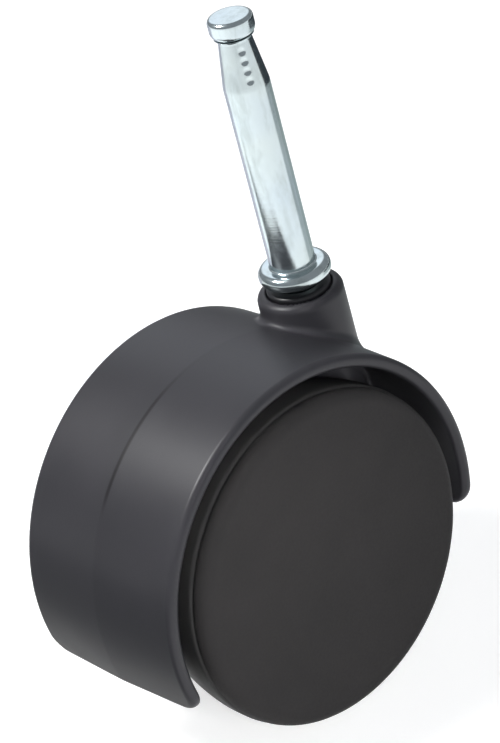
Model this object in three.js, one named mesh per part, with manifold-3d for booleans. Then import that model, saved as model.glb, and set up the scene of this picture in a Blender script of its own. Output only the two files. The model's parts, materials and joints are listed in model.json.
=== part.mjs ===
// A hooded twin-wheel chair caster on a grip-neck stem.
//
// Millimetres, +Z up. The origin is on the swivel axis, in the plane of the top face of the stem's collar,
// which is the face that seats against the chair leg. +X points from the axle towards the stem, and the
// axle runs along Y. The left wheel is on the +Y side and the right wheel on the -Y side.

import * as THREE from "three";
import { mergeVertices } from "three/addons/utils/BufferGeometryUtils.js";
import Module from "manifold-3d";

const wasm = await Module();
wasm.setup();

// ---------------------------------------------------------------------------------------------------------
// Driving dimensions

const CLEARANCE = 0.1; // between pieces that are pressed or slid together

// Where the axle lies from the origin.
const AXLE_X = -19.2;
const AXLE_Z = -35;

// Stem: one turned steel pin, listed from the top down.
const STEM_TOP = 40;
const HEAD_RADIUS = 3.3;
const HEAD_THICKNESS = 3;
const NECK_RADIUS = 2.35;
const NECK_LENGTH = 7.6;
const STEM_RADIUS = 3.4;
const COLLAR_RADIUS = 5.4;
const COLLAR_THICKNESS = 2.4;
const COLLAR_EDGE_RADIUS = 1;
const PIVOT_RADIUS = 3;
const PIVOT_END = -24.3;
const GROOVE_RADIUS = 2.5;
const GROOVE_TOP = -20.3;
const GROOVE_BOTTOM = -21.1;

// Casing: a thin shell over both wheels, widest at its middle, on a central web that holds axle and pivot.
const SHELL_CREST_RADIUS = 30.5;
const SHELL_RIM_RADIUS = 30;
const SHELL_THICKNESS = 2;
const SHELL_HALF_WIDTH = 15.8;
const SHELL_EDGE_RADIUS = 0.6;
const SHELL_END_DROP = 8.6; // of the shell's two straight ends, below the axle
const SHELL_CORNER_RADIUS = 3;
const WEB_THICKNESS = 4.5;
const BOSS_TOP = -4;
const BOSS_TOP_RADIUS = 6.4;
const BOSS_FOOT_RADIUS = 6.6;
const BOSS_EDGE_RADIUS = 0.9;
const COLUMN_RADIUS = 6.2;
const COLUMN_FOOT = -27.8;
const AXLE_HUB_RADIUS = 6.5;
const AXLE_HUB_HALF_LENGTH = 6;

// Swivel bush, pressed into the boss.
const BUSH_TOP = -3.4;
const BUSH_FLANGE_RADIUS = 4.8;
const BUSH_FLANGE_THICKNESS = 1.3;
const BUSH_SLEEVE_RADIUS = 4.2;
const BUSH_FOOT = -18;

// Pad that the pivot stands on, and the ring that keeps the pivot in the casing.
const PAD_THICKNESS = 0.8;
const RING_OUTER_RADIUS = 3.55;
const RING_GAP = 1.8;

// Axle and what is on it; places along the axle are distances from its middle.
const AXLE_RADIUS = 3;
const AXLE_HALF_LENGTH = 15.2;
const WASHER_RADIUS = 5.4;
const WASHER_THICKNESS = 0.45;
const CLIP_RADIUS = 4.8;
const CLIP_THICKNESS = 0.5;
const CLIP_TEETH = 6;

// Wheels.
const WHEEL_RADIUS = 25.4;
const WHEEL_INNER_FACE = 6.9;
const WHEEL_OUTER_FACE = 14.9;
const TREAD_FLAT_START = 12.5; // the tread is straight from here outwards and tapers inwards from here
const TREAD_INNER_RADIUS = 24.5;
const TREAD_EDGE_RADIUS = 0.8;
const RIM_THICKNESS = 3;
const HUB_RADIUS = 5.6;
const HUB_OUTER_END = 14.5;
const DISC_INNER_FACE = 11.6;
const DISC_OUTER_FACE = 13.3;
const RIBS = 12;
const RIB_THICKNESS = 1.3;
const COVER_RADIUS = 25.2;
const COVER_SHOULDER = 17.3; // where the shoulder turns into the face
const COVER_SHOULDER_RADIUS = 1.8;
const COVER_CROWN = 0.5; // rise of the face's middle over its edge
const COVER_WALL = 1.7;
const SKIRT_THICKNESS = 1.5;

// Round pieces have more flats the larger they are.
const FINE = 84;
const MEDIUM = 48;
const SMALL = 36;

// ---------------------------------------------------------------------------------------------------------
// Materials

const zincPlatedSteel = () => new THREE.MeshStandardMaterial({ color: 0xc6d0d6, roughness: 0.28, metalness: 1 });
const blackSteel = () => new THREE.MeshStandardMaterial({ color: 0x3a3c3f, roughness: 0.4, metalness: 1 });
const casingPlastic = () => new THREE.MeshStandardMaterial({ color: 0x37373b, roughness: 0.5, metalness: 0 });
const wheelPlastic = () => new THREE.MeshStandardMaterial({ color: 0x2b2b2d, roughness: 0.6, metalness: 0 });
const bushPlastic = () => new THREE.MeshStandardMaterial({ color: 0x1e1e20, roughness: 0.45, metalness: 0 });

// ---------------------------------------------------------------------------------------------------------
// Shape helpers

// A closed three.js geometry as a manifold-3d solid.
function solidOf(geometry) {
  const bare = geometry.clone();
  bare.deleteAttribute("normal");
  bare.deleteAttribute("uv");
  const merged = mergeVertices(bare, 1e-4);
  const mesh = new wasm.Mesh({
    numProp: 3,
    vertProperties: merged.attributes.position.array,
    triVerts: new Uint32Array(merged.index.array),
  });
  return new wasm.Manifold(mesh);
}

// A manifold-3d solid as a three.js geometry with flat faces.
function geometryOf(solid) {
  const mesh = solid.getMesh();
  const indexed = new THREE.BufferGeometry();
  indexed.setAttribute("position", new THREE.BufferAttribute(mesh.vertProperties, 3));
  indexed.setIndex(new THREE.BufferAttribute(mesh.triVerts, 1));
  const flat = indexed.toNonIndexed();
  flat.computeVertexNormals();
  return flat;
}

// Points of an arc in the plane of a profile, angles in degrees, both ends included.
function arc(centreX, centreY, radius, fromDegrees, toDegrees, steps) {
  const points = [];
  for (let i = 0; i <= steps; i++) {
    const angle = THREE.MathUtils.degToRad(fromDegrees + ((toDegrees - fromDegrees) * i) / steps);
    points.push([centreX + radius * Math.cos(angle), centreY + radius * Math.sin(angle)]);
  }
  return points;
}

// Turns [radius, height] points about the Y axis. The points run counter-clockwise, with the radius to the
// right and the height up, and either begin and end on the axis or close on themselves.
function turnedAboutY(points, segments) {
  const profile = points.map(([radius, height]) => new THREE.Vector2(radius, height));
  return new THREE.LatheGeometry(profile, segments);
}

function turnedAboutZ(points, segments) {
  return turnedAboutY(points, segments).rotateX(Math.PI / 2);
}

// A profile that runs round a ring and ends where it began.
function closed(points) {
  return [...points, points[0]];
}

function ringProfile(innerRadius, outerRadius, bottom, top) {
  return closed([
    [innerRadius, bottom],
    [outerRadius, bottom],
    [outerRadius, top],
    [innerRadius, top],
  ]);
}

function rodProfile(radius, bottom, top) {
  return [
    [0, bottom],
    [radius, bottom],
    [radius, top],
    [0, top],
  ];
}

function named(name, geometry, material) {
  const mesh = new THREE.Mesh(geometry, material);
  mesh.name = name;
  return mesh;
}

// ---------------------------------------------------------------------------------------------------------
// Stem: head, tapered neck, plain shank, collar, and the pivot that turns in the casing

function stemGeometry() {
  const headFoot = STEM_TOP - HEAD_THICKNESS;
  const edge = 0.6;
  const collarEdge = COLLAR_EDGE_RADIUS;
  const neckFillet = 0.5;
  return turnedAboutZ(
    [
      [0, PIVOT_END],
      ...arc(PIVOT_RADIUS - 1.2, PIVOT_END + 1.2, 1.2, -90, 0, 5),
      [PIVOT_RADIUS, GROOVE_BOTTOM],
      [GROOVE_RADIUS, GROOVE_BOTTOM],
      [GROOVE_RADIUS, GROOVE_TOP],
      [PIVOT_RADIUS, GROOVE_TOP],
      [PIVOT_RADIUS, -COLLAR_THICKNESS],
      ...arc(COLLAR_RADIUS - collarEdge, -COLLAR_THICKNESS + collarEdge, collarEdge, -90, 0, 5),
      ...arc(COLLAR_RADIUS - collarEdge, -collarEdge, collarEdge, 0, 90, 5),
      [STEM_RADIUS, 0],
      [STEM_RADIUS, headFoot - NECK_LENGTH],
      [NECK_RADIUS, headFoot - neckFillet],
      [NECK_RADIUS + neckFillet, headFoot],
      ...arc(HEAD_RADIUS - edge, headFoot + edge, edge, -90, 0, 4),
      ...arc(HEAD_RADIUS - edge, STEM_TOP - edge, edge, 0, 90, 4),
      [0, STEM_TOP],
    ],
    SMALL,
  );
}

// Open spring ring in the pivot's groove.
function stemRingGeometry() {
  const bottom = GROOVE_BOTTOM + CLEARANCE;
  const top = GROOVE_TOP - CLEARANCE;
  const ring = solidOf(turnedAboutZ(ringProfile(GROOVE_RADIUS + CLEARANCE, RING_OUTER_RADIUS, bottom, top), SMALL));
  const gap = new THREE.BoxGeometry(RING_OUTER_RADIUS * 2, RING_GAP, 2);
  gap.translate(RING_OUTER_RADIUS, 0, (bottom + top) / 2);
  return geometryOf(ring.subtract(solidOf(gap)));
}

// ---------------------------------------------------------------------------------------------------------
// Casing: shell, web, axle hub, and the boss and column that take the bush and the pivot

// The shell's section, turned about the axle: crowned outside, rounded along both rims.
function shellRing() {
  const edge = SHELL_EDGE_RADIUS;
  const innerRadius = SHELL_RIM_RADIUS - SHELL_THICKNESS;
  const rim = SHELL_HALF_WIDTH;
  const section = closed([
    [innerRadius, 0],
    ...arc(innerRadius + edge, -rim + edge, edge, 180, 270, 3),
    ...arc(SHELL_RIM_RADIUS - edge, -rim + edge, edge, 270, 360, 3),
    [SHELL_CREST_RADIUS, 0],
    ...arc(SHELL_RIM_RADIUS - edge, rim - edge, edge, 0, 90, 3),
    ...arc(innerRadius + edge, rim - edge, edge, 90, 180, 3),
  ]);
  return solidOf(turnedAboutY(section, FINE).translate(AXLE_X, 0, AXLE_Z));
}

// What is kept of the shell, seen along X: everything above its ends, with their corners rounded.
function shellKeep() {
  const bottom = AXLE_Z - SHELL_END_DROP;
  const top = 0;
  const side = SHELL_HALF_WIDTH + 1;
  const corner = SHELL_CORNER_RADIUS;
  const outline = new THREE.Shape();
  outline.moveTo(-side, top);
  outline.lineTo(-side, bottom + corner);
  const left = arc(-SHELL_HALF_WIDTH + corner, bottom + corner, corner, 180, 270, 8);
  const right = arc(SHELL_HALF_WIDTH - corner, bottom + corner, corner, 270, 360, 8);
  for (const [y, z] of [...left, ...right]) outline.lineTo(y, z);
  outline.lineTo(side, bottom + corner);
  outline.lineTo(side, top);
  outline.closePath();
  const length = 4 * SHELL_CREST_RADIUS;
  const prism = new THREE.ExtrudeGeometry(outline, { depth: length, bevelEnabled: false });
  // The outline's own axes become Y and Z, and its depth runs along X.
  const axes = new THREE.Matrix4().makeBasis(
    new THREE.Vector3(0, 1, 0),
    new THREE.Vector3(0, 0, 1),
    new THREE.Vector3(1, 0, 0),
  );
  return solidOf(prism.applyMatrix4(axes).translate(AXLE_X - length / 2, 0, 0));
}

// A round bar about the axle's line, clear of the ends of whatever it fills or cuts.
function axleBar(radius, halfLength, segments) {
  return solidOf(turnedAboutY(rodProfile(radius, -halfLength, halfLength), segments).translate(AXLE_X, 0, AXLE_Z));
}

// The web between the wheels, as far down as the shell's ends.
function web() {
  const disc = axleBar(SHELL_RIM_RADIUS - SHELL_THICKNESS / 2, WEB_THICKNESS / 2, FINE);
  const size = 4 * SHELL_CREST_RADIUS;
  const below = new THREE.BoxGeometry(size, size, size);
  below.translate(AXLE_X, 0, AXLE_Z - SHELL_END_DROP - size / 2);
  return disc.subtract(solidOf(below));
}

// The boss above the shell. It ends inside the shell's wall, so that it leaves the wheels their room.
function boss() {
  const edge = BOSS_EDGE_RADIUS;
  const stub = solidOf(
    turnedAboutZ(
      [
        [0, COLUMN_FOOT],
        [BOSS_FOOT_RADIUS, COLUMN_FOOT],
        ...arc(BOSS_TOP_RADIUS - edge, BOSS_TOP - edge, edge, 0, 90, 4),
        [0, BOSS_TOP],
      ],
      MEDIUM,
    ),
  );
  return stub.subtract(axleBar(SHELL_RIM_RADIUS - SHELL_THICKNESS / 2, 2 * SHELL_HALF_WIDTH, FINE));
}

// The stepped blind bore of the pivot, as the solid that is cut away.
function pivotBore() {
  const flangeSeat = BUSH_TOP - BUSH_FLANGE_THICKNESS - CLEARANCE;
  const bushFoot = BUSH_FOOT - CLEARANCE;
  const pivotRadius = PIVOT_RADIUS + 2 * CLEARANCE;
  const undercutRadius = RING_OUTER_RADIUS + 2 * CLEARANCE;
  const padFoot = PIVOT_END - PAD_THICKNESS - 2 * CLEARANCE;
  return solidOf(
    turnedAboutZ(
      [
        [0, padFoot],
        [pivotRadius, padFoot],
        [pivotRadius, GROOVE_BOTTOM - 2 * CLEARANCE],
        [undercutRadius, GROOVE_BOTTOM - 2 * CLEARANCE],
        [undercutRadius, GROOVE_TOP + 2 * CLEARANCE],
        [pivotRadius, GROOVE_TOP + 2 * CLEARANCE],
        [pivotRadius, bushFoot],
        [BUSH_SLEEVE_RADIUS + CLEARANCE, bushFoot],
        [BUSH_SLEEVE_RADIUS + CLEARANCE, flangeSeat],
        [BUSH_FLANGE_RADIUS + CLEARANCE, flangeSeat],
        [BUSH_FLANGE_RADIUS + CLEARANCE, 0],
        [0, 0],
      ],
      SMALL,
    ),
  );
}

function casingGeometry() {
  const column = solidOf(turnedAboutZ(rodProfile(COLUMN_RADIUS, COLUMN_FOOT, BOSS_TOP - BOSS_EDGE_RADIUS), SMALL));
  const moulding = shellRing()
    .intersect(shellKeep())
    .add(web())
    .add(axleBar(AXLE_HUB_RADIUS, AXLE_HUB_HALF_LENGTH, SMALL))
    .add(boss())
    .add(column);
  const axleBore = axleBar(AXLE_RADIUS + CLEARANCE / 2, SHELL_HALF_WIDTH, SMALL);
  return geometryOf(moulding.subtract(axleBore).subtract(pivotBore()));
}

// ---------------------------------------------------------------------------------------------------------
// Small pieces of the swivel

function swivelBushGeometry() {
  const flangeFoot = BUSH_TOP - BUSH_FLANGE_THICKNESS;
  const edge = 0.4;
  const bore = PIVOT_RADIUS + CLEARANCE;
  const section = closed([
    [bore, BUSH_FOOT],
    [BUSH_SLEEVE_RADIUS, BUSH_FOOT],
    [BUSH_SLEEVE_RADIUS, flangeFoot],
    [BUSH_FLANGE_RADIUS, flangeFoot],
    ...arc(BUSH_FLANGE_RADIUS - edge, BUSH_TOP - edge, edge, 0, 90, 3),
    [bore + edge, BUSH_TOP],
    [bore, BUSH_TOP - edge],
  ]);
  return turnedAboutZ(section, SMALL);
}

function thrustPadGeometry() {
  const top = PIVOT_END - CLEARANCE;
  return turnedAboutZ(rodProfile(PIVOT_RADIUS, top - PAD_THICKNESS, top), SMALL);
}

// ---------------------------------------------------------------------------------------------------------
// Axle and its small pieces, in a frame whose origin is the axle's middle

function axleGeometry() {
  const chamfer = 0.5;
  return turnedAboutY(
    [
      [0, -AXLE_HALF_LENGTH],
      [AXLE_RADIUS - chamfer, -AXLE_HALF_LENGTH],
      [AXLE_RADIUS, -AXLE_HALF_LENGTH + chamfer],
      [AXLE_RADIUS, AXLE_HALF_LENGTH - chamfer],
      [AXLE_RADIUS - chamfer, AXLE_HALF_LENGTH],
      [0, AXLE_HALF_LENGTH],
    ],
    SMALL,
  );
}

// Flat washer between the casing's axle hub and a wheel's hub.
function axleWasherGeometry() {
  const inner = AXLE_HUB_HALF_LENGTH + CLEARANCE;
  return turnedAboutY(
    ringProfile(AXLE_RADIUS + CLEARANCE, WASHER_RADIUS, inner, inner + WASHER_THICKNESS),
    SMALL,
  );
}

// Push-on clip that keeps a wheel on the axle: a thin ring with slots between its gripping teeth.
function axleClipGeometry() {
  const inner = HUB_OUTER_END + CLEARANCE / 2;
  const bore = AXLE_RADIUS + CLEARANCE / 2;
  let clip = solidOf(turnedAboutY(ringProfile(bore, CLIP_RADIUS, inner, inner + CLIP_THICKNESS), SMALL));
  for (let i = 0; i < CLIP_TEETH; i++) {
    const slot = new THREE.BoxGeometry(1.2, 4 * CLIP_THICKNESS, 0.7);
    slot.translate(bore + 0.3, inner, 0).rotateY((i * 2 * Math.PI) / CLIP_TEETH);
    clip = clip.subtract(solidOf(slot));
  }
  return geometryOf(clip);
}

// ---------------------------------------------------------------------------------------------------------
// Wheel: a ribbed core with the tread, and the domed cover snapped into its outer side

const wheelHubStart = AXLE_HUB_HALF_LENGTH + WASHER_THICKNESS + 2 * CLEARANCE;
const rimInnerRadius = WHEEL_RADIUS - RIM_THICKNESS;

function wheelCoreGeometry() {
  const bore = AXLE_RADIUS + CLEARANCE;
  const edge = TREAD_EDGE_RADIUS;
  const section = closed([
    [bore, wheelHubStart],
    [HUB_RADIUS, wheelHubStart],
    [HUB_RADIUS, DISC_INNER_FACE],
    [rimInnerRadius, DISC_INNER_FACE],
    [rimInnerRadius, WHEEL_INNER_FACE],
    ...arc(TREAD_INNER_RADIUS - edge, WHEEL_INNER_FACE + edge, edge, -90, 0, 4),
    [WHEEL_RADIUS, TREAD_FLAT_START],
    [WHEEL_RADIUS, WHEEL_OUTER_FACE],
    [rimInnerRadius, WHEEL_OUTER_FACE],
    [rimInnerRadius, DISC_OUTER_FACE],
    [HUB_RADIUS, DISC_OUTER_FACE],
    [HUB_RADIUS, HUB_OUTER_END],
    [bore, HUB_OUTER_END],
  ]);
  let core = solidOf(turnedAboutY(section, FINE));
  const ribFoot = WHEEL_INNER_FACE + 0.6;
  const ribDepth = DISC_INNER_FACE - ribFoot + 0.3;
  const ribStart = HUB_RADIUS - 0.6;
  const ribEnd = rimInnerRadius + 0.6;
  for (let i = 0; i < RIBS; i++) {
    const rib = new THREE.BoxGeometry(ribEnd - ribStart, ribDepth, RIB_THICKNESS);
    rib.translate((ribStart + ribEnd) / 2, ribFoot + ribDepth / 2, 0);
    rib.rotateY((i * 2 * Math.PI) / RIBS);
    core = core.add(solidOf(rib));
  }
  return geometryOf(core);
}

function wheelCoverGeometry() {
  const shoulder = COVER_SHOULDER_RADIUS;
  const seat = WHEEL_OUTER_FACE + CLEARANCE;
  const skirtOuter = rimInnerRadius - CLEARANCE;
  const skirtInner = skirtOuter - SKIRT_THICKNESS;
  const skirtFoot = DISC_OUTER_FACE + CLEARANCE;
  const innerFace = COVER_SHOULDER - COVER_WALL;
  // The face is a shallow spherical cap.
  const faceRadius = COVER_RADIUS - shoulder;
  const sphereRadius = (faceRadius ** 2 + COVER_CROWN ** 2) / (2 * COVER_CROWN);
  const sphereCentre = COVER_SHOULDER + COVER_CROWN - sphereRadius;
  const edgeAngle = THREE.MathUtils.radToDeg(Math.acos(faceRadius / sphereRadius));
  return turnedAboutY(
    [
      [0, innerFace],
      [skirtInner, innerFace],
      [skirtInner, skirtFoot],
      [skirtOuter, skirtFoot],
      [skirtOuter, seat],
      [COVER_RADIUS, seat],
      ...arc(COVER_RADIUS - shoulder, COVER_SHOULDER - shoulder, shoulder, 0, 90, 7),
      ...arc(0, sphereCentre, sphereRadius, edgeAngle, 90, 5).slice(1, -1),
      [0, COVER_SHOULDER + COVER_CROWN],
    ],
    FINE,
  );
}

// ---------------------------------------------------------------------------------------------------------
// Assembly

// One wheel and the small pieces beside it. The right-hand set is the left-hand one turned half a turn.
function wheelSet(side, turn) {
  const set = new THREE.Group();
  set.rotation.z = turn;
  set.add(named("axle_washer_" + side, axleWasherGeometry(), zincPlatedSteel()));
  set.add(named("wheel_core_" + side, wheelCoreGeometry(), wheelPlastic()));
  set.add(named("wheel_cover_" + side, wheelCoverGeometry(), wheelPlastic()));
  set.add(named("axle_clip_" + side, axleClipGeometry(), blackSteel()));
  return set;
}

const caster = new THREE.Group();
caster.add(named("stem", stemGeometry(), zincPlatedSteel()));
caster.add(named("stem_ring", stemRingGeometry(), blackSteel()));

const swivelling = new THREE.Group();
swivelling.add(named("casing", casingGeometry(), casingPlastic()));
swivelling.add(named("swivel_bush", swivelBushGeometry(), bushPlastic()));
swivelling.add(named("thrust_pad", thrustPadGeometry(), blackSteel()));
caster.add(swivelling);

const axleLine = new THREE.Group();
axleLine.position.set(AXLE_X, 0, AXLE_Z);
axleLine.add(named("axle", axleGeometry(), zincPlatedSteel()));
axleLine.add(wheelSet("left", 0));
axleLine.add(wheelSet("right", Math.PI));
swivelling.add(axleLine);

export default caster;
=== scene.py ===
"""A hooded twin-wheel chair caster on a grip-neck stem, as it is put together from the stem down.

Blender works in metres. Sizes below are in millimetres, in the frame of the CAD model: +Z up along the
stem, the origin on the swivel axis where the stem's collar seats, and the axle along Y.
"""

import json
import math

import bpy
import numpy as np
from mathutils import Matrix, Vector


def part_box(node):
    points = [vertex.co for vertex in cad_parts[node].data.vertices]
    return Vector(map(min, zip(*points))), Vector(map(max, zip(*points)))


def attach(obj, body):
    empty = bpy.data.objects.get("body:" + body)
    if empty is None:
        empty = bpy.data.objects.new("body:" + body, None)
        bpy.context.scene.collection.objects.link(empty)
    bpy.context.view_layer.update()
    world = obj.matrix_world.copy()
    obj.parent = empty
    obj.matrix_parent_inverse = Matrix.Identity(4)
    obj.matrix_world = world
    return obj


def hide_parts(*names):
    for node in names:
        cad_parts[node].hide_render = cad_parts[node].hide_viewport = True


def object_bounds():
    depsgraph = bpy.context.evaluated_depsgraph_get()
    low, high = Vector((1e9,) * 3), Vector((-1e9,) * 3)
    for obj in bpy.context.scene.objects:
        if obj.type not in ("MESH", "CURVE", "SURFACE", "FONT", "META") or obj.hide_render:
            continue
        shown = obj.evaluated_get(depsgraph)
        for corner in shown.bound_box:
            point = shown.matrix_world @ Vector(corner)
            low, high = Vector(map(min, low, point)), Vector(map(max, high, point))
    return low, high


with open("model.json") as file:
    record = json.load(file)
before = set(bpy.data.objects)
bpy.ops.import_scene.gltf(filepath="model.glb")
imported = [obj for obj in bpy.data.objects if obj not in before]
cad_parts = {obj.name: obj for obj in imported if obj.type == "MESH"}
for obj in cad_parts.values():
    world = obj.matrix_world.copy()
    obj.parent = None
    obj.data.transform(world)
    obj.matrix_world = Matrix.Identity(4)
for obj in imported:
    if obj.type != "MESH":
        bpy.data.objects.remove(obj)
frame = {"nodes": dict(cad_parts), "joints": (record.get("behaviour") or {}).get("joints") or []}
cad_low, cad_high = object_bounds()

# ---------------------------------------------------------------------------------------------------------
# Stem: one steel pin, turned from bar and zinc plated. A button head and a tapered neck hold in the chair's
# socket, a thick collar seats against the leg, and the pivot below it turns in the casing.

MM = 0.001


def top_of(node):
    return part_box(node)[1] / MM


def foot_of(node):
    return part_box(node)[0] / MM


ARC_STEP = math.radians(11)


def rounded_profile(corners, closed, step):
    """Points [radius, height] from corner to corner. A corner is (radius, height, rounding)."""
    points = []
    for i, (radius, height, rounding) in enumerate(corners):
        here = np.array([radius, height], float)
        if rounding == 0 or (not closed and i in (0, len(corners) - 1)):
            points.append(here)
            continue
        back = np.array(corners[i - 1][:2]) - here
        ahead = np.array(corners[(i + 1) % len(corners)][:2]) - here
        back, ahead = back / np.linalg.norm(back), ahead / np.linalg.norm(ahead)
        half = math.acos(np.clip(back @ ahead, -1, 1)) / 2
        middle = (back + ahead) / np.linalg.norm(back + ahead)
        centre = here + middle * rounding / math.sin(half)
        start, end = (here + side * rounding / math.tan(half) - centre for side in (back, ahead))
        first = math.atan2(start[1], start[0])
        turn = (math.atan2(end[1], end[0]) - first + math.pi) % (2 * math.pi) - math.pi
        count = max(2, math.ceil(abs(turn) / ARC_STEP))
        for k in range(count + 1):
            angle = first + turn * k / count
            points.append(centre + rounding * np.array([math.cos(angle), math.sin(angle)]))
    if closed:
        points.append(points[0])
    fine = [points[0]]
    for a, b in zip(points, points[1:]):
        count = max(1, math.ceil(np.linalg.norm(b - a) / step))
        fine += [a + (b - a) * k / count for k in range(1, count + 1)]
    return np.array(fine)


def built(name, points, faces, body, material, replaced):
    """A piece from points in millimetres. It rides on its body and stands for the CAD nodes it replaces."""
    mesh = bpy.data.meshes.new(name)
    mesh.from_pydata((points * MM).tolist(), [], faces)
    mesh.update()
    mesh.shade_smooth()
    mesh.materials.append(material)
    piece = bpy.data.objects.new(name, mesh)
    bpy.context.scene.collection.objects.link(piece)
    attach(piece, body)
    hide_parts(*replaced)
    return piece


def turned(corners, closed=False, step=0.4, segments=144):
    """Points and faces of a profile turned about Z. The profile runs counter-clockwise, with the radius to
    the right and the height up, and either begins and ends on the axis or closes on itself."""
    profile = rounded_profile(corners, closed, step)
    points, rings = [], []
    for radius, height in profile:
        if radius < 1e-6:
            rings.append([len(points)] * segments)
            points.append((0, 0, height))
            continue
        rings.append(list(range(len(points), len(points) + segments)))
        for k in range(segments):
            angle = 2 * math.pi * k / segments
            points.append((radius * math.cos(angle), radius * math.sin(angle), height))
    if closed:
        rings[-1] = rings[0]
        points = points[:-segments]
    faces = []
    for low, high in zip(rings, rings[1:]):
        for k in range(segments):
            after = (k + 1) % segments
            corner_ids = [low[k], low[after], high[after], high[k]]
            faces.append([c for j, c in enumerate(corner_ids) if c != corner_ids[j - 1]])
    return np.array(points, float), faces


def linear(hex_colour):
    """An sRGB hex colour as the linear colour that Blender's sockets take."""
    channels = [int(hex_colour[i : i + 2], 16) / 255 for i in (1, 3, 5)]
    return (*((c / 12.92 if c <= 0.04045 else ((c + 0.055) / 1.055) ** 2.4) for c in channels), 1)


def per_metre(size):
    """The scale of a pattern whose features are this many millimetres across."""
    return 1 / (size * MM)


def add_node(tree, kind, settings=None, inputs=None):
    """A node with its settings, and its inputs as values or as the sockets that feed them."""
    node = tree.nodes.new(kind)
    for key, value in (settings or {}).items():
        setattr(node, key, value)
    for key, value in (inputs or {}).items():
        if isinstance(value, bpy.types.NodeSocket):
            tree.links.new(value, node.inputs[key])
        else:
            node.inputs[key].default_value = value
    return node


def new_material(name):
    material = bpy.data.materials.new(name)
    material.use_nodes = True
    material.node_tree.nodes.clear()
    return material, material.node_tree


# Bright zinc plate on turned steel. It mirrors softly, with a cold blue passivate that drifts in tint, and
# the lathe's fine rings break the mirror up along the pin. The rings are drawn at 0.3 mm, against about
# 0.1 mm on the real one, so that they show.
bright_zinc_plate, tree = new_material("bright_zinc_plate")
place = add_node(tree, "ShaderNodeTexCoord").outputs["Object"]
drift = add_node(tree, "ShaderNodeTexNoise", inputs={"Vector": place, "Scale": per_metre(9), "Detail": 2})
tint = add_node(
    tree,
    "ShaderNodeMix",
    {"data_type": "RGBA"},
    {"Factor": drift.outputs["Fac"], "A": linear("#C8D6E1"), "B": linear("#D6E0DA")},
)
# Darker clouds, drawn out along the pin, dim the plate's colour in streaks.
along = add_node(tree, "ShaderNodeMapping", inputs={"Vector": place, "Scale": (1, 1, 0.3)})
clouds = add_node(
    tree,
    "ShaderNodeTexNoise",
    inputs={"Vector": along.outputs["Vector"], "Scale": per_metre(2.2), "Detail": 4, "Roughness": 0.6},
)
dull_streaks = add_node(
    tree,
    "ShaderNodeMapRange",
    {"interpolation_type": "SMOOTHSTEP"},
    {"Value": clouds.outputs["Fac"], "From Min": 0.42, "From Max": 0.72, "To Min": 0.0, "To Max": 0.75},
)
plate = add_node(
    tree,
    "ShaderNodeMix",
    {"data_type": "RGBA"},
    {"Factor": dull_streaks.outputs["Result"], "A": tint.outputs["Result"], "B": linear("#B4C0C0")},
)
squash = add_node(tree, "ShaderNodeMapping", inputs={"Vector": place, "Scale": (0.02, 0.02, 1)})
rings = add_node(
    tree,
    "ShaderNodeTexNoise",
    inputs={"Vector": squash.outputs["Vector"], "Scale": per_metre(0.3), "Detail": 3},
)
grain = add_node(
    tree,
    "ShaderNodeTexNoise",
    inputs={"Vector": place, "Scale": per_metre(0.8), "Detail": 4},
)
polish = add_node(
    tree,
    "ShaderNodeMapRange",
    inputs={
        "Value": grain.outputs["Fac"],
        "From Min": 0.3,
        "From Max": 0.7,
        "To Min": 0.13,
        "To Max": 0.22,
    },
)
relief = add_node(
    tree,
    "ShaderNodeBump",
    inputs={"Height": rings.outputs["Fac"], "Distance": 0.02 * MM, "Strength": 0.35},
)
shader = add_node(
    tree,
    "ShaderNodeBsdfPrincipled",
    inputs={
        "Base Color": plate.outputs["Result"],
        "Metallic": 1.0,
        "Roughness": polish.outputs["Result"],
        "Normal": relief.outputs["Normal"],
    },
)
add_node(tree, "ShaderNodeOutputMaterial", inputs={"Surface": shader.outputs["BSDF"]})

STEM_TOP = top_of("stem").z
PIVOT_END = foot_of("stem").z
COLLAR_RADIUS = top_of("stem").x
HEAD_RADIUS, HEAD_THICKNESS = 3.3, 3.0
NECK_RADIUS, NECK_LENGTH = 2.35, 7.6
SHANK_RADIUS, PIVOT_RADIUS = 3.4, 3.0
COLLAR_THICKNESS = 2.4
GROOVE_RADIUS, GROOVE_TOP, GROOVE_FOOT = 2.5, -20.3, -21.1
PUNCH_RADIUS, PUNCH_DEPTH, PUNCH_PITCH, PUNCH_COUNT = 0.62, 0.17, 1.45, 4
PUNCH_START = 1.7
PUNCH_SLOPE = 1.5

neck_top = STEM_TOP - HEAD_THICKNESS
# The pin's outline from the pivot's end up, each corner with its radius, height and rounding.
points, faces = turned(
    [
        (0, PIVOT_END, 0),
        (PIVOT_RADIUS, PIVOT_END, 1.2),
        (PIVOT_RADIUS, GROOVE_FOOT, 0.1),
        (GROOVE_RADIUS, GROOVE_FOOT, 0.1),
        (GROOVE_RADIUS, GROOVE_TOP, 0.1),
        (PIVOT_RADIUS, GROOVE_TOP, 0.1),
        (PIVOT_RADIUS, -COLLAR_THICKNESS, 0.3),
        (COLLAR_RADIUS, -COLLAR_THICKNESS, 1.1),
        (COLLAR_RADIUS, 0, 1.1),
        (SHANK_RADIUS, 0, 0.25),
        (SHANK_RADIUS, neck_top - NECK_LENGTH, 4),
        (NECK_RADIUS, neck_top, 0.5),
        (HEAD_RADIUS, neck_top, 1.1),
        (HEAD_RADIUS, STEM_TOP, 0.65),
        (0, STEM_TOP, 0),
    ],
    step=0.16,
)
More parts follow.
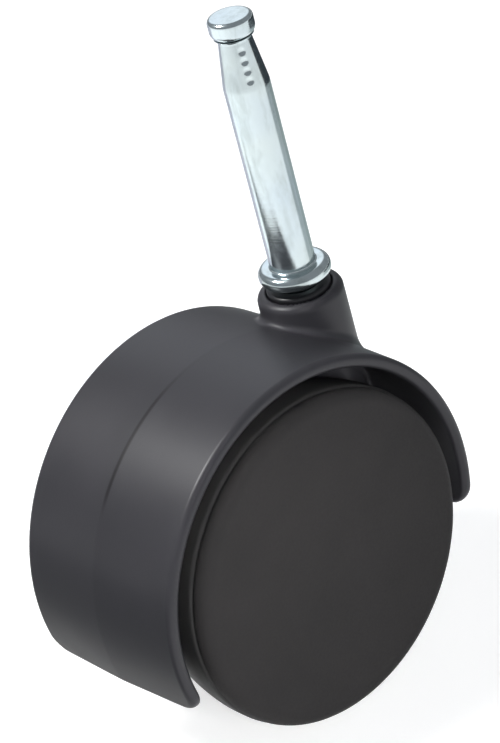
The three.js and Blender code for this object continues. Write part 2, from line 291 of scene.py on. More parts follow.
# Plain round punch marks down the neck, on the side towards the right wheel.
punch_side = Vector((-0.5, -1, 0)).normalized()
for i in range(PUNCH_COUNT):
    height = neck_top - PUNCH_START - i * PUNCH_PITCH
    across = points[:, :2] @ np.array([-punch_side.y, punch_side.x])
    facing = points[:, :2] @ np.array(punch_side[:2]) > 0
    distance = np.hypot(across, points[:, 2] - height)
    push = PUNCH_DEPTH * np.clip(1 - (distance / PUNCH_RADIUS) ** 2, 0, 1) ** PUNCH_SLOPE * facing
    points[:, :2] -= push[:, None] * np.array(punch_side[:2])
built("stem_pin", points, faces, "stem", bright_zinc_plate, ["stem"])

# ---------------------------------------------------------------------------------------------------------
# Spring ring: an open ring of hardened spring steel with a black finish. It is sprung over the pivot's end
# and sits in the pivot's groove, where it keeps the stem in the casing.

# Black oxide on hardened steel: nearly black, with a dull metal sheen that varies a little.
black_oxide_steel, tree = new_material("black_oxide_steel")
place = add_node(tree, "ShaderNodeTexCoord").outputs["Object"]
mottle = add_node(
    tree,
    "ShaderNodeTexNoise",
    inputs={"Vector": place, "Scale": per_metre(0.7), "Detail": 3},
)
tint = add_node(
    tree,
    "ShaderNodeMix",
    {"data_type": "RGBA"},
    {"Factor": mottle.outputs["Fac"], "A": linear("#3C3D40"), "B": linear("#505256")},
)
sheen = add_node(
    tree,
    "ShaderNodeMapRange",
    inputs={"Value": mottle.outputs["Fac"], "To Min": 0.3, "To Max": 0.5},
)
relief = add_node(
    tree,
    "ShaderNodeBump",
    inputs={"Height": mottle.outputs["Fac"], "Distance": 0.01 * MM, "Strength": 0.3},
)
shader = add_node(
    tree,
    "ShaderNodeBsdfPrincipled",
    inputs={
        "Base Color": tint.outputs["Result"],
        "Metallic": 1.0,
        "Roughness": sheen.outputs["Result"],
        "Normal": relief.outputs["Normal"],
    },
)
add_node(tree, "ShaderNodeOutputMaterial", inputs={"Surface": shader.outputs["BSDF"]})


SHARP_EDGE = math.radians(40)


def refinished(node, material, edge):
    """Gives a CAD node its material and a small bevel on its sharp edges."""
    piece = frame["nodes"][node]
    piece.data.materials.clear()
    piece.data.materials.append(material)
    bevel = piece.modifiers.new("edges", "BEVEL")
    bevel.width = edge * MM
    bevel.segments = 2
    bevel.limit_method = "ANGLE"
    bevel.angle_limit = SHARP_EDGE


RING_EDGE = 0.08
refinished("stem_ring", black_oxide_steel, RING_EDGE)

# ---------------------------------------------------------------------------------------------------------
# Swivel bush: a flanged sleeve, moulded in black acetal and pressed into the boss. The pivot turns in it,
# and its lip shows under the collar.

# Moulded acetal: near black, waxy and smoother than the casing, so its lip catches a soft line of light.
black_acetal, tree = new_material("black_acetal")
place = add_node(tree, "ShaderNodeTexCoord").outputs["Object"]
cloud = add_node(tree, "ShaderNodeTexNoise", inputs={"Vector": place, "Scale": per_metre(1.5), "Detail": 2})
tint = add_node(
    tree,
    "ShaderNodeMix",
    {"data_type": "RGBA"},
    {"Factor": cloud.outputs["Fac"], "A": linear("#131315"), "B": linear("#1C1C1F")},
)
gloss = add_node(
    tree,
    "ShaderNodeMapRange",
    inputs={"Value": cloud.outputs["Fac"], "To Min": 0.28, "To Max": 0.4},
)
shader = add_node(
    tree,
    "ShaderNodeBsdfPrincipled",
    inputs={"Base Color": tint.outputs["Result"], "Roughness": gloss.outputs["Result"], "IOR": 1.48},
)
add_node(tree, "ShaderNodeOutputMaterial", inputs={"Surface": shader.outputs["BSDF"]})

BUSH_TOP, BUSH_FOOT = top_of("swivel_bush").z, foot_of("swivel_bush").z
FLANGE_RADIUS, FLANGE_THICKNESS, SLEEVE_RADIUS, BUSH_BORE = 4.8, 1.3, 4.2, 3.1

points, faces = turned(
    [
        (BUSH_BORE, BUSH_FOOT, 0.15),
        (SLEEVE_RADIUS, BUSH_FOOT, 0.2),
        (SLEEVE_RADIUS, BUSH_TOP - FLANGE_THICKNESS, 0.1),
        (FLANGE_RADIUS, BUSH_TOP - FLANGE_THICKNESS, 0.2),
        (FLANGE_RADIUS, BUSH_TOP, 0.5),
        (BUSH_BORE, BUSH_TOP, 0.3),
    ],
    closed=True,
)
built("bush_sleeve", points, faces, "casing", black_acetal, ["swivel_bush"])

# ---------------------------------------------------------------------------------------------------------
# Thrust pad: a disc of hardened steel with a black finish, dropped into the bottom of the pivot's bore. The
# pivot stands and turns on it.

PAD_TOP, PAD_FOOT = top_of("thrust_pad").z, foot_of("thrust_pad").z
PAD_RADIUS, PAD_EDGE = 3.0, 0.15

points, faces = turned(
    [(0, PAD_FOOT, 0), (PAD_RADIUS, PAD_FOOT, PAD_EDGE), (PAD_RADIUS, PAD_TOP, PAD_EDGE), (0, PAD_TOP, 0)]
)
built("pad_disc", points, faces, "casing", black_oxide_steel, ["thrust_pad"])

# ---------------------------------------------------------------------------------------------------------
# Casing: one moulding of charcoal nylon, drawn both ways from a line along its middle. A shell covers both
# wheels, a web between them carries the axle's hub, and a boss and column hold the bush and the pivot.


def softer_max(a, b, radius):
    """Where two solids overlap, with the edge between them rounded. Each is a distance, negative inside."""
    return np.minimum(np.maximum(a, b), -radius) + np.hypot(
        np.maximum(a + radius, 0), np.maximum(b + radius, 0)
    )


def softer_min(a, b, radius):
    """Two solids joined, with a fillet between them."""
    return np.maximum(np.minimum(a, b), radius) - np.hypot(
        np.maximum(radius - a, 0), np.maximum(radius - b, 0)
    )


REACH = 0.02
DRAWING_STEPS = 4
LEAST_STEEPNESS = 0.2


def moulded(solid, low, high, step):
    """Points, faces and normals of the surface of a solid given by its distance, negative inside."""
    axes = [np.arange(a - 2 * step, b + 3 * step, step) for a, b in zip(low, high)]
    value = solid(*np.meshgrid(*axes, indexing="ij"))
    inside = value < 0
    shape = [n - 1 for n in value.shape]
    offsets = [np.array([i, j, k]) for i in (0, 1) for j in (0, 1) for k in (0, 1)]
    count = sum(inside[tuple(slice(o, o + n) for o, n in zip(off, shape))].astype(int) for off in offsets)
    crossed = (count > 0) & (count < 8)
    cells = np.argwhere(crossed)
    index = np.full(shape, -1)
    index[crossed] = np.arange(len(cells))
    # A point per crossed cell, at the mean of the places where the surface crosses the cell's edges.
    total, hits = np.zeros((len(cells), 3)), np.zeros(len(cells))
    for a in offsets:
        for axis in range(3):
            if a[axis]:
                continue
            along = np.eye(3, dtype=int)[axis]
            first, second = value[tuple((cells + a).T)], value[tuple((cells + a + along).T)]
            meets = (first < 0) != (second < 0)
            share = np.where(meets, first / np.where(meets, first - second, 1), 0)
            total += meets[:, None] * (a + along * share[:, None])
            hits += meets
    points = np.array([axis[0] for axis in axes]) + step * (cells + total / hits[:, None])
    faces = []
    for axis in range(3):
        after = np.eye(3, dtype=int)
        b, c = after[(axis + 1) % 3], after[(axis + 2) % 3]
        span = [slice(0, n - (i == axis)) for i, n in enumerate(inside.shape)]
        ahead = [slice((i == axis) * 1, n) for i, n in enumerate(inside.shape)]
        start, end = inside[tuple(span)], inside[tuple(ahead)]
        edges = np.argwhere(start != end)
        quads = np.stack([index[tuple((edges + off).T)] for off in (-b - c, -c, 0 * b, -b)], axis=1)
        outward = start[tuple(edges.T)]
        faces.append(np.where(outward[:, None], quads, quads[:, ::-1]))
    # Draws each point onto the surface itself, in a few steps.
    for _ in range(DRAWING_STEPS):
        rise = [solid(*(points + REACH * side).T) - solid(*(points - REACH * side).T) for side in np.eye(3)]
        slope = np.stack(rise, axis=1) / (2 * REACH)
        steepness = np.maximum((slope**2).sum(axis=1), LEAST_STEEPNESS)
        move = -solid(*points.T)[:, None] * slope / steepness[:, None]
        points = points + np.clip(move, -step / 2, step / 2)
    return points, np.concatenate(faces).tolist(), slope / np.sqrt(steepness)[:, None]


axle = Vector(next(j for j in frame["joints"] if j["name"] == "wheel_left_spin")["pos_m"]) / MM
SHELL_CREST, SHELL_RIM, SHELL_THICKNESS = 30.5, 30.0, 2.0
SHELL_HALF_WIDTH = top_of("casing").y
SHELL_FOOT = foot_of("casing").z
SHELL_EDGE, SHELL_CORNER = 0.9, 3.2
CREST_SOFTNESS = 0.12
INSIDE_SHELL = 29.0
WEB_THICKNESS, WEB_EDGE = 4.5, 0.5
BOSS_TOP = top_of("casing").z
BOSS_TOP_RADIUS, BOSS_FOOT_RADIUS, BOSS_HEIGHT, BOSS_EDGE = 6.4, 6.5, 10, 1.2
COLUMN_RADIUS, COLUMN_FOOT, COLUMN_EDGE = 6.2, -27.8, 0.4
HUB_RADIUS, HUB_HALF_LENGTH, HUB_EDGE = 6.5, 6.0, 0.4
WEB_FILLET, INNER_FILLET, BOSS_FILLET = 0.8, 1.0, 1.3
AXLE_BORE, AXLE_BORE_EDGE = 3.05, 0.15
# The stepped bore's radius, foot, top and edge: the flange's seat, the sleeve, the pivot, the spring ring.
ABOVE_BOSS = 9.0
BORE_STEPS = (
    (4.9, -5.0, ABOVE_BOSS, 0.25),
    (4.3, -18.1, ABOVE_BOSS, 0.05),
    (3.2, -25.3, ABOVE_BOSS, 0.05),
    (3.75, -21.3, -20.1, 0.05),
)
CASING_MESH_STEP = 0.4


def casing_solid(x, y, z):
    """The distance to the casing's surface, negative inside."""
    from_axle = np.hypot(x - axle.x, z - axle.z)
    from_pivot = np.hypot(x, y)
    side = np.abs(y)
    crown = (SHELL_CREST - SHELL_RIM) * np.hypot(side, CREST_SOFTNESS) / SHELL_HALF_WIDTH
    wall = np.maximum(from_axle - (SHELL_CREST - crown), SHELL_RIM - SHELL_THICKNESS - from_axle)
    below = SHELL_FOOT - z
    outline = softer_max(side - SHELL_HALF_WIDTH, below, SHELL_CORNER)
    shell = softer_max(wall, outline, SHELL_EDGE)
    web = softer_max(np.maximum(side - WEB_THICKNESS / 2, from_axle - INSIDE_SHELL), below, WEB_EDGE)
    hub = softer_max(from_axle - HUB_RADIUS, side - HUB_HALF_LENGTH, HUB_EDGE)
    column = softer_max(from_pivot - COLUMN_RADIUS, COLUMN_FOOT - z, COLUMN_EDGE)
    column = np.maximum(column, from_axle - INSIDE_SHELL)
    boss_radius = BOSS_TOP_RADIUS + (BOSS_FOOT_RADIUS - BOSS_TOP_RADIUS) * (BOSS_TOP - z) / BOSS_HEIGHT
    boss = softer_max(from_pivot - boss_radius, z - BOSS_TOP, BOSS_EDGE)
    boss = np.maximum(boss, INSIDE_SHELL - from_axle)
    solid = softer_min(web, hub, WEB_FILLET)
    solid = softer_min(solid, column, INNER_FILLET)
    solid = softer_min(solid, shell, INNER_FILLET)
    solid = softer_min(solid, boss, BOSS_FILLET)
    for radius, foot, top, edge in BORE_STEPS:
        bore = np.maximum(from_pivot - radius, np.maximum(foot - z, z - top))
        solid = softer_max(solid, -bore, edge)
    return softer_max(solid, AXLE_BORE - from_axle, AXLE_BORE_EDGE)


points, faces, normals = moulded(casing_solid, foot_of("casing"), top_of("casing"), CASING_MESH_STEP)

# Nylon, moulded in a spark-eroded tool: a charcoal skin with a satin gloss and a grain too fine to make
# out, so its highlights are broad and soft. The grain is drawn at 0.35 mm, against about 0.05 mm on the
# real one, so that it shows.
charcoal_nylon, tree = new_material("charcoal_satin_nylon")
place = add_node(tree, "ShaderNodeTexCoord").outputs["Object"]
flow = add_node(
    tree,
    "ShaderNodeTexNoise",
    inputs={"Vector": place, "Scale": per_metre(14), "Detail": 3, "Roughness": 0.6},
)
tint = add_node(
    tree,
    "ShaderNodeMix",
    {"data_type": "RGBA"},
    {"Factor": flow.outputs["Fac"], "A": linear("#2A2A2D"), "B": linear("#353438")},
)
# Painted shade along the middle of the shell: the small groove that the two halves of the mould leave there
# is drawn as a dark line of colour. The painted shade is strong only near the height of the shell's back
# shoulder, and it fades out towards the boss.
LINE_CORE, LINE_EDGE = 0.12, 0.5
SHOULDER_HEIGHT, PLAIN_WITHIN, FAINT_BEYOND, FAINTEST = -10.5, 3, 7, 0.06
FADES_OUT, FADES_IN = 10, 24
parts = add_node(tree, "ShaderNodeSeparateXYZ", inputs={"Vector": place})
off_line = add_node(tree, "ShaderNodeMath", {"operation": "ABSOLUTE"}, {0: parts.outputs["Y"]})
on_line = add_node(
    tree,
    "ShaderNodeMapRange",
    {"interpolation_type": "SMOOTHSTEP"},
    {
        "Value": off_line.outputs["Value"],
        "From Min": LINE_CORE * MM,
        "From Max": LINE_EDGE * MM,
        "To Min": 1.0,
        "To Max": 0.0,
    },
)
from_shoulder = add_node(
    tree,
    "ShaderNodeMath",
    {"operation": "ADD"},
    {0: parts.outputs["Z"], 1: -SHOULDER_HEIGHT * MM},
)
past_shoulder = add_node(
    tree,
    "ShaderNodeMath",
    {"operation": "ABSOLUTE"},
    {0: from_shoulder.outputs["Value"]},
)
along_line = add_node(
    tree,
    "ShaderNodeMapRange",
    {"interpolation_type": "SMOOTHSTEP"},
    {
        "Value": past_shoulder.outputs["Value"],
        "From Min": PLAIN_WITHIN * MM,
        "From Max": FAINT_BEYOND * MM,
        "To Min": 1.0,
        "To Max": FAINTEST,
    },
)
from_boss = add_node(tree, "ShaderNodeMath", {"operation": "ABSOLUTE"}, {0: parts.outputs["X"]})
clear_of_boss = add_node(
    tree,
    "ShaderNodeMapRange",
    {"interpolation_type": "SMOOTHSTEP"},
    {"Value": from_boss.outputs["Value"], "From Min": FADES_OUT * MM, "From Max": FADES_IN * MM},
)
faded_groove_shade = add_node(
    tree,
    "ShaderNodeMath",
    {"operation": "MULTIPLY"},
    {0: along_line.outputs["Result"], 1: clear_of_boss.outputs["Result"]},
)
painted_groove_shade = add_node(
    tree,
    "ShaderNodeMath",
    {"operation": "MULTIPLY"},
    {0: on_line.outputs["Result"], 1: faded_groove_shade.outputs["Value"]},
)
# The casing's colour, with the painted shade of the mould's groove mixed in.
skin = add_node(
    tree,
    "ShaderNodeMix",
    {"data_type": "RGBA"},
    {"Factor": painted_groove_shade.outputs["Value"], "A": tint.outputs["Result"], "B": linear("#0B0B0D")},
)
grain = add_node(
    tree,
    "ShaderNodeTexNoise",
    inputs={"Vector": place, "Scale": per_metre(0.35), "Detail": 3},
)
satin = add_node(
    tree,
    "ShaderNodeMapRange",
    inputs={"Value": flow.outputs["Fac"], "From Min": 0.3, "From Max": 0.7, "To Min": 0.37, "To Max": 0.43},
)
relief = add_node(
    tree,
    "ShaderNodeBump",
    inputs={"Height": grain.outputs["Fac"], "Distance": 0.02 * MM, "Strength": 0.5},
)
shader = add_node(
    tree,
    "ShaderNodeBsdfPrincipled",
    inputs={
        "Base Color": skin.outputs["Result"],
        "Roughness": satin.outputs["Result"],
        "IOR": 1.53,
        "Specular IOR Level": 0.3,
        "Normal": relief.outputs["Normal"],
    },
)
add_node(tree, "ShaderNodeOutputMaterial", inputs={"Surface": shader.outputs["BSDF"]})

casing = built("casing_moulding", points, faces, "casing", charcoal_nylon, ["casing"])
casing.data.normals_split_custom_set_from_vertices(normals.tolist())

# ---------------------------------------------------------------------------------------------------------
# Axle, washers and clips: a plain zinc-plated pin pressed through the casing's hub, a flat steel washer at
# each side of the hub, and a toothed spring-steel clip pushed on outside each wheel's hub.

AXLE_RADIUS, AXLE_END, AXLE_CHAMFER = 3.0, top_of("axle").y, 0.45
WASHER_BORE, WASHER_RADIUS = 3.1, top_of("axle_washer_left").z - axle.z
WASHER_INNER_EDGE, WASHER_OUTER_EDGE = 0.1, 0.18
CLIP_EDGE = 0.06


def along_axle(points, side=1):
    """Turns points made about Z so that Z runs along the axle, outwards to the left or, at side -1, to the
    right."""
    x, y, z = points.T
    return np.stack([axle.x + x * side, z * side, axle.z - y], axis=1)


points, faces = turned(
    [
        (0, -AXLE_END, 0),
        (AXLE_RADIUS, -AXLE_END, AXLE_CHAMFER),
        (AXLE_RADIUS, AXLE_END, AXLE_CHAMFER),
        (0, AXLE_END, 0),
    ]
)
built("axle_pin", along_axle(points), faces, "casing", bright_zinc_plate, ["axle"])

for hand, side in (("left", 1), ("right", -1)):
    washer = "axle_washer_" + hand
    inner, outer = sorted(abs(corner.y) for corner in (foot_of(washer), top_of(washer)))
    points, faces = turned(
        [
            (WASHER_BORE, inner, WASHER_INNER_EDGE),
            (WASHER_RADIUS, inner, WASHER_INNER_EDGE),
            (WASHER_RADIUS, outer, WASHER_OUTER_EDGE),
            (WASHER_BORE, outer, WASHER_OUTER_EDGE),
        ],
        closed=True,
    )
    points = along_axle(points, side)
    built("washer_" + hand, points, faces, "casing", bright_zinc_plate, [washer])
    refinished("axle_clip_" + hand, black_oxide_steel, CLIP_EDGE)

# ---------------------------------------------------------------------------------------------------------
# Wheel cores: glass-filled nylon mouldings, each with its tread, a hub on the axle, a disc between them and
# twelve ribs on the inner side.

TREAD_RADIUS = top_of("wheel_core_left").z - axle.z
CORE_INNER_FACE = 6.9
CORE_OUTER_FACE = top_of("wheel_core_left").y
TREAD_FLAT_START, TREAD_TAPER, TAPER_CURVE = 12.5, 0.9, 1.6
RIM_THICKNESS, RIM_EDGE = 3.0, 0.6
CORE_HUB_RADIUS, CORE_HUB_START, CORE_HUB_END, CORE_HUB_EDGE = 5.6, 6.65, 14.5, 0.3
CORE_BORE, CORE_BORE_EDGE = 3.1, 0.2
DISC_START, DISC_END = 11.6, 13.3
RIBS, RIB_THICKNESS, RIB_START, RIB_EDGE = 12, 1.3, 7.5, 0.35
RIM_OVERLAP, DISC_OVERLAP = 0.5, 0.4
RIB_FILLET, CORE_FILLET = 0.5, 0.8
CORE_MESH_STEP = 0.42


def core_solid(x, y, z):
    """A wheel's core about Z, with Z outwards along the axle from the casing's middle."""
    radius = np.hypot(x, y)
    inward = np.maximum(TREAD_FLAT_START - z, 0) / (TREAD_FLAT_START - CORE_INNER_FACE)
    taper = TREAD_TAPER * inward**TAPER_CURVE
    rim_foot = TREAD_RADIUS - RIM_THICKNESS
    tread = np.maximum(radius - TREAD_RADIUS + taper, rim_foot - radius)
    rim = softer_max(tread, np.maximum(CORE_INNER_FACE - z, z - CORE_OUTER_FACE), RIM_EDGE)
    disc = np.maximum(np.maximum(DISC_START - z, z - DISC_END), radius - rim_foot - RIM_OVERLAP)
    hub_ends = np.maximum(CORE_HUB_START - z, z - CORE_HUB_END)
    hub = softer_max(radius - CORE_HUB_RADIUS, hub_ends, CORE_HUB_EDGE)
    fold = 2 * math.pi / RIBS
    angle = (np.arctan2(y, x) + fold / 2) % fold - fold / 2
    rib = softer_max(np.abs(radius * np.sin(angle)) - RIB_THICKNESS / 2, RIB_START - z, RIB_EDGE)
    rib = np.maximum(rib, np.maximum(z - DISC_START - DISC_OVERLAP, radius - rim_foot - RIM_OVERLAP))
    core = softer_min(softer_min(disc, rib, RIB_FILLET), softer_min(rim, hub, RIB_FILLET), CORE_FILLET)
    return softer_max(core, CORE_BORE - radius, CORE_BORE_EDGE)


points, faces, normals = moulded(
    core_solid,
    (-TREAD_RADIUS, -TREAD_RADIUS, CORE_HUB_START),
    (TREAD_RADIUS, TREAD_RADIUS, CORE_OUTER_FACE),
    CORE_MESH_STEP,
)

# Nylon, moulded and then rolled on: the same charcoal, duller than the casing, with a tread that the floor
# has scuffed a little greyer.
SCUFFS_START, SCUFFS_FULL = 24.2, 25.2
tread_nylon, tree = new_material("rolled_nylon")
place = add_node(tree, "ShaderNodeTexCoord").outputs["Object"]
centred = add_node(
    tree,
    "ShaderNodeVectorMath",
    {"operation": "SUBTRACT"},
    {0: place, 1: (axle.x * MM, 0, axle.z * MM)},
)
flat_way = add_node(
    tree,
    "ShaderNodeVectorMath",
    {"operation": "MULTIPLY"},
    {0: centred.outputs["Vector"], 1: (1, 0, 1)},
)
from_axle = add_node(
    tree,
    "ShaderNodeVectorMath",
    {"operation": "LENGTH"},
    {0: flat_way.outputs["Vector"]},
)
on_tread = add_node(
    tree,
    "ShaderNodeMapRange",
    inputs={
        "Value": from_axle.outputs["Value"],
        "From Min": SCUFFS_START * MM,
        "From Max": SCUFFS_FULL * MM,
    },
)
scuffs = add_node(
    tree,
    "ShaderNodeTexNoise",
    inputs={"Vector": place, "Scale": per_metre(1.6), "Detail": 6, "Roughness": 0.7},
)
worn = add_node(
    tree,
    "ShaderNodeMath",
    {"operation": "MULTIPLY"},
    {0: on_tread.outputs["Result"], 1: scuffs.outputs["Fac"]},
)
tint = add_node(
    tree,
    "ShaderNodeMix",
    {"data_type": "RGBA"},
    {"Factor": worn.outputs["Value"], "A": linear("#232324"), "B": linear("#3A3938")},
)
dull = add_node(
    tree,
    "ShaderNodeMapRange",
    inputs={"Value": worn.outputs["Value"], "To Min": 0.5, "To Max": 0.72},
)
relief = add_node(
    tree,
    "ShaderNodeBump",
    inputs={"Height": scuffs.outputs["Fac"], "Distance": 0.03 * MM, "Strength": 0.4},
)
shader = add_node(
    tree,
    "ShaderNodeBsdfPrincipled",
    inputs={
        "Base Color": tint.outputs["Result"],
        "Roughness": dull.outputs["Result"],
        "IOR": 1.53,
        "Specular IOR Level": 0.3,
        "Normal": relief.outputs["Normal"],
    },
)
add_node(tree, "ShaderNodeOutputMaterial", inputs={"Surface": shader.outputs["BSDF"]})

for hand, side in (("left", 1), ("right", -1)):
    core = built(
        "core_" + hand,
        along_axle(points, side),
        faces,
        "wheel_" + hand,
        tread_nylon,
        ["wheel_core_" + hand],
    )
    x, y, z = normals.T
    core.data.normals_split_custom_set_from_vertices(np.stack([x * side, z * side, -y], axis=1).tolist())

# ---------------------------------------------------------------------------------------------------------
# Wheel covers: slightly domed discs of matt polypropylene that hide hub and clip. A skirt behind each one
# snaps into its wheel's rim.

# Polypropylene, moulded in a finely etched tool: a flat, even dark grey with almost no highlight. The etch
# is drawn at 0.4 mm, against about 0.1 mm on the real one, so that it shows.
matt_polypropylene, tree = new_material("matt_polypropylene")
place = add_node(tree, "ShaderNodeTexCoord").outputs["Object"]
cloud = add_node(
    tree,
    "ShaderNodeTexNoise",
    inputs={"Vector": place, "Scale": per_metre(11), "Detail": 3, "Roughness": 0.55},
)
tint = add_node(
    tree,
    "ShaderNodeMix",
    {"data_type": "RGBA"},
    {"Factor": cloud.outputs["Fac"], "A": linear("#2C2B2B"), "B": linear("#353333")},
)
etch = add_node(tree, "ShaderNodeTexNoise", inputs={"Vector": place, "Scale": per_metre(0.4), "Detail": 4})
matt = add_node(
    tree,
    "ShaderNodeMapRange",
    inputs={"Value": etch.outputs["Fac"], "From Min": 0.3, "From Max": 0.7, "To Min": 0.58, "To Max": 0.7},
)
relief = add_node(
    tree,
    "ShaderNodeBump",
    inputs={"Height": etch.outputs["Fac"], "Distance": 0.03 * MM, "Strength": 0.5},
)
shader = add_node(
    tree,
    "ShaderNodeBsdfPrincipled",
    inputs={
        "Base Color": tint.outputs["Result"],
        "Roughness": matt.outputs["Result"],
        "IOR": 1.49,
        "Specular IOR Level": 0.15,
        "Normal": relief.outputs["Normal"],
    },
)
add_node(tree, "ShaderNodeOutputMaterial", inputs={"Surface": shader.outputs["BSDF"]})

COVER_RADIUS = top_of("wheel_cover_left").z - axle.z
COVER_FACE = top_of("wheel_cover_left").y
COVER_FOOT = foot_of("wheel_cover_left").y
COVER_SEAT, COVER_EDGE, COVER_CROWN, COVER_WALL = 15.0, 1.9, 0.5, 1.7
SKIRT_OUTER, SKIRT_THICKNESS = 22.3, 1.5
INSIDE_CORNER, SMALL_EDGE = 0.5, 0.3
COVER_SEGMENTS = 240

skirt_inner = SKIRT_OUTER - SKIRT_THICKNESS
ceiling = COVER_FACE - COVER_CROWN - COVER_WALL
corners = [
    (0, ceiling, 0),
    (skirt_inner, ceiling, INSIDE_CORNER),
    (skirt_inner, COVER_FOOT, SMALL_EDGE),
    (SKIRT_OUTER, COVER_FOOT, SMALL_EDGE),
    (SKIRT_OUTER, COVER_SEAT, SMALL_EDGE),
    (COVER_RADIUS, COVER_SEAT, SMALL_EDGE),
    (COVER_RADIUS, COVER_FACE - COVER_CROWN, COVER_EDGE),
    (0, COVER_FACE - COVER_CROWN, 0),
]
points, faces = turned(corners, segments=COVER_SEGMENTS)
# The face is domed: it rises from the shoulder to its middle.
outer_face = points[:, 2] > COVER_FACE - COVER_CROWN - COVER_EDGE
dome = np.clip(1 - (np.hypot(points[:, 0], points[:, 1]) / COVER_RADIUS) ** 2, 0, 1)
points[:, 2] += COVER_CROWN * dome * outer_face * (points[:, 2] > COVER_SEAT)
for hand, side in (("left", 1), ("right", -1)):
    built(
        "cover_" + hand,
        along_axle(points, side),
        faces,
        "wheel_" + hand,
        matt_polypropylene,
        ["wheel_cover_" + hand],
    )

# ---------------------------------------------------------------------------------------------------------
# Floor, light and camera: a white table under a pale sky, with a soft box high up on the camera's left. A
# small gridded box over the camera's right shoulder lights the near wheel's cover, and stays out of the
# gloss. Cloths on the table and a low card are there for the gloss alone.

scene = bpy.context.scene
scene.view_settings.view_transform = "Standard"


def stage_sheet(name, points, faces, material):
    """A sheet of the stage, from its points in metres."""
    mesh = bpy.data.meshes.new(name)
    mesh.from_pydata(points, [], faces)
    mesh.materials.append(material)
    sheet = bpy.data.objects.new(name, mesh)
    scene.collection.objects.link(sheet)
    return sheet


# A matt white table top. A little light of its own keeps it as pale as the backdrop.
white_table, tree = new_material("white_table")
shader = add_node(
    tree,
    "ShaderNodeBsdfPrincipled",
    inputs={
        "Base Color": linear("#C8C8C8"),
        "Roughness": 0.9,
        "Emission Color": (1, 1, 1, 1),
        "Emission Strength": 0.7,
    },
)
add_node(tree, "ShaderNodeOutputMaterial", inputs={"Surface": shader.outputs["BSDF"]})
# The table throws no light back on the matt surfaces, which keeps the undersides dark.
FLOOR_REACH = 4  # metres each way
quarters = ((-1, -1), (1, -1), (1, 1), (-1, 1))
corners = [(x * FLOOR_REACH, y * FLOOR_REACH, cad_low.z) for x, y in quarters]
floor = stage_sheet("floor", corners, [(0, 1, 2, 3)], white_table)
floor.visible_diffuse = False

# The sky glows in one soft patch, beyond and above the caster from where the camera stands.
scene.world = bpy.data.worlds.new("pale_sky")
scene.world.use_nodes = True
tree = scene.world.node_tree
tree.nodes.clear()
look = add_node(tree, "ShaderNodeTexCoord").outputs["Generated"]
behind = add_node(
    tree,
    "ShaderNodeVectorMath",
    {"operation": "DOT_PRODUCT"},
    {0: look, 1: (0.49, 0.70, 0.52)},
)
glow = add_node(
    tree,
    "ShaderNodeMapRange",
    {"interpolation_type": "SMOOTHSTEP"},
    {"Value": behind.outputs["Value"], "From Min": 0.92, "From Max": 0.99, "To Min": 0.3, "To Max": 1.28},
)
sky = add_node(
    tree,
    "ShaderNodeBackground",
    inputs={"Color": linear("#F2F7FF"), "Strength": glow.outputs["Result"]},
)
# Behind the table's far edge the backdrop is as pale as the table.
backdrop = add_node(tree, "ShaderNodeBackground", inputs={"Color": linear("#F3F4F6"), "Strength": 1.0})
seen = add_node(tree, "ShaderNodeLightPath").outputs["Is Camera Ray"]
both = add_node(
    tree,
    "ShaderNodeMixShader",
    inputs={0: seen, 1: sky.outputs["Background"], 2: backdrop.outputs["Background"]},
)
add_node(tree, "ShaderNodeOutputWorld", inputs={"Surface": both.outputs["Shader"]})


def soft_box(name, aim, direction, distance, size, spread, power, gloss=True):
    """A square area light that faces a point of the caster from a direction. The aim is in millimetres, the
    distance and size in metres, the spread in degrees and the power in watts. A grid narrows the spread."""
    light = bpy.data.lights.new(name, "AREA")
    light.shape = "SQUARE"
    light.size = size
    light.spread = math.radians(spread)
    light.energy = power
    lamp = bpy.data.objects.new(name, light)
    scene.collection.objects.link(lamp)
    target = Vector(aim) * MM
    lamp.location = target + Vector(direction).normalized() * distance
    lamp.rotation_mode = "QUATERNION"
    lamp.rotation_quaternion = (target - lamp.location).to_track_quat("-Z", "Y")
    lamp.visible_camera = False
    lamp.visible_glossy = gloss


soft_box(
    "back_box",
    aim=(-14, 0, -18),
    direction=(-0.43, 0.34, 0.83),
    distance=0.45,
    size=0.1,
    spread=180,
    power=2.05,
)
soft_box(
    "front_box",
    aim=(-34, -18, -20),
    direction=(-0.3, -0.85, 0.4),
    distance=0.25,
    size=0.06,
    spread=30,
    power=0.023,
    gloss=False,
)

AZIMUTH, ELEVATION, ROLL = (math.radians(a) for a in (-35.86, 30.19, 15.26))
LENS, SENSOR_WIDTH = 148.1, 36
CAMERA_AIM, CAMERA_DISTANCE = (-14.51, -2.85, -9.44), 436.7

camera = bpy.data.objects.new("camera", bpy.data.cameras.new("camera"))
scene.collection.objects.link(camera)
towards_camera = Vector(
    (
        math.sin(AZIMUTH) * math.cos(ELEVATION),
        -math.cos(AZIMUTH) * math.cos(ELEVATION),
        math.sin(ELEVATION),
    )
)
camera.data.lens = LENS
camera.data.sensor_width = SENSOR_WIDTH
camera.rotation_mode = "QUATERNION"
level = (-towards_camera).to_track_quat("-Z", "Y")
camera.rotation_quaternion = level @ Matrix.Rotation(-ROLL, 4, "Z").to_quaternion()
camera.location = Vector(CAMERA_AIM) * MM + towards_camera * CAMERA_DISTANCE * MM
scene.camera = camera

# Cloths lie on the table round the back of the caster, from the camera's right to its left. Bright plate
# needs something darker than the table to mirror, or its edges are lost.
CLOTH_LIFT = 2  # millimetres above the table
RIM_PARTS = 24


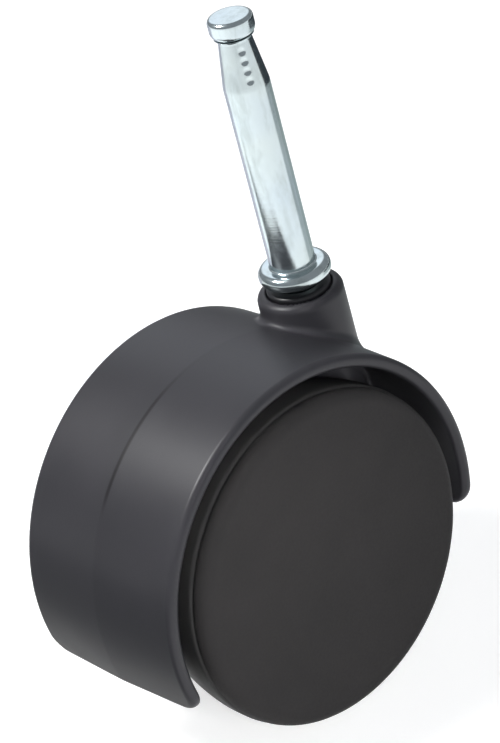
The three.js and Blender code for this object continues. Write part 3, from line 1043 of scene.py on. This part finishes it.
def dull_material(name, colour):
    """Dyed cloth or card, with no gloss of its own."""
    material, tree = new_material(name)
    shader = add_node(
        tree,
        "ShaderNodeBsdfPrincipled",
        inputs={"Base Color": linear(colour), "Roughness": 1.0, "Specular IOR Level": 0.0},
    )
    add_node(tree, "ShaderNodeOutputMaterial", inputs={"Surface": shader.outputs["BSDF"]})
    return material


def seen_by_gloss_only(sheet):
    for kind in ("camera", "diffuse", "transmission", "volume_scatter", "shadow"):
        setattr(sheet, "visible_" + kind, False)


def cloth(name, colour, start, end, inner, outer):
    """Part of a ring about the stem, between two radii in metres. Its angles are in degrees, from the
    camera's side towards the camera's right."""
    ahead = np.array([math.sin(AZIMUTH), -math.cos(AZIMUTH)])
    right = np.array([math.cos(AZIMUTH), math.sin(AZIMUTH)])
    angles = [math.radians(start + (end - start) * k / RIM_PARTS) for k in range(RIM_PARTS + 1)]
    rim = [ahead * math.cos(a) + right * math.sin(a) for a in angles]
    outline = [way * inner for way in rim] + [way * outer for way in reversed(rim)]
    corners = [(x, y, cad_low.z + CLOTH_LIFT * MM) for x, y in outline]
    face = list(range(len(corners)))
    seen_by_gloss_only(stage_sheet(name, corners, [face], dull_material(name, colour)))


cloth("black_cloth", "#4A5056", start=88, end=182, inner=0.2, outer=0.9)
cloth("pale_cloth", "#D8DEDE", start=88, end=120, inner=0.09, outer=0.2)
cloth("grey_cloth", "#BCC6C4", start=120, end=178, inner=0.09, outer=0.2)
cloth("lilac_cloth", "#C6C4CE", start=196, end=236, inner=0.09, outer=0.6)

# A low grey card stands by the casing's back, with its foot on the table, and keeps the glare off it.
CARD_X, CARD_FOOT_X, CARD_TOP, CARD_FRONT, CARD_BACK = -66, -44, -26, -24, 78
CARD_LIFT = 1  # millimetres above the table

card_foot = cad_low.z / MM + CARD_LIFT
bends = [(CARD_FOOT_X, card_foot), (CARD_X, card_foot), (CARD_X, CARD_TOP)]
corners = [(x * MM, y * MM, z * MM) for x, z in bends for y in (CARD_FRONT, CARD_BACK)]
faces = [(0, 1, 3, 2), (2, 3, 5, 4)]
seen_by_gloss_only(stage_sheet("grey_card", corners, faces, dull_material("grey_card", "#D6D6D4")))
